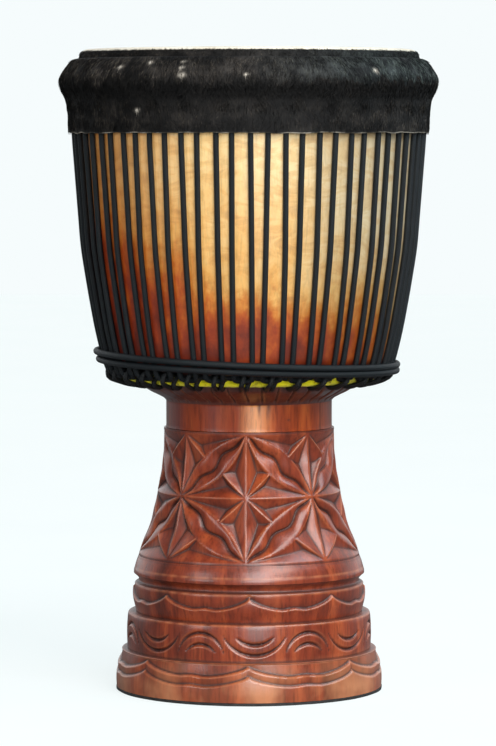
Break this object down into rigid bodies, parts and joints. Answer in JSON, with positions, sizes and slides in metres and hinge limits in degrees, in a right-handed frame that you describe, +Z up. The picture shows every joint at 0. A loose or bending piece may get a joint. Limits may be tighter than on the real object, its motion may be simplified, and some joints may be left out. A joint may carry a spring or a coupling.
{
  "type": "djembe",
  "caption": "Full-size rope-tuned djembe: carved goblet shell, dark haired goatskin head and collar, black zigzag ropes, yellow cloth-wrapped bottom ring and a rubber foot strip",
  "frame": {"origin": "middle of the foot's underside, where the drum stands on the floor", "axes": "+Z up along the drum's axis to the playing surface, -Y towards the front, +X to the viewer's right"},
  "size_m": [0.3658, 0.3658, 0.62],
  "materials": {
    "wood": "carved hardwood, oiled and varnished, pale golden on the bowl and red-brown on the stem",
    "goatskin": "rawhide with short near-black hair on the collar, shaved cream on the playing face",
    "ring_steel": "mild steel round bar, welded into a ring",
    "ring_cloth": "strip of yellow cotton cloth wound on the ring",
    "cradle_rope": "black braided low-stretch rope",
    "rope": "black braided low-stretch rope with a faint blue-green sheen",
    "foot_rubber": "matt black rubber strip glued under the foot"
  },
  "bodies": {
    "drum": {"shell": "wood", "hide": "goatskin", "tuning_rope": "rope", "tail_rope": "rope", "tail_knot": "rope", "bottom_loops": "cradle_rope", "bottom_ring": "ring_steel", "bottom_ring_wrap": "ring_cloth", "foot_strip": "foot_rubber"},
    "crown": {"crown_ring": "ring_steel", "crown_ring_wrap": "ring_cloth", "crown_loops": "cradle_rope", "flesh_ring": "ring_steel"}
  },
  "joints": [
    {"name": "head_tuning", "type": "slide", "parent": "drum", "child": "crown", "axis": [0, 0, -1], "range_m": [-0.004, 0.006], "deforming": ["hide", "tuning_rope"]}
  ]
}
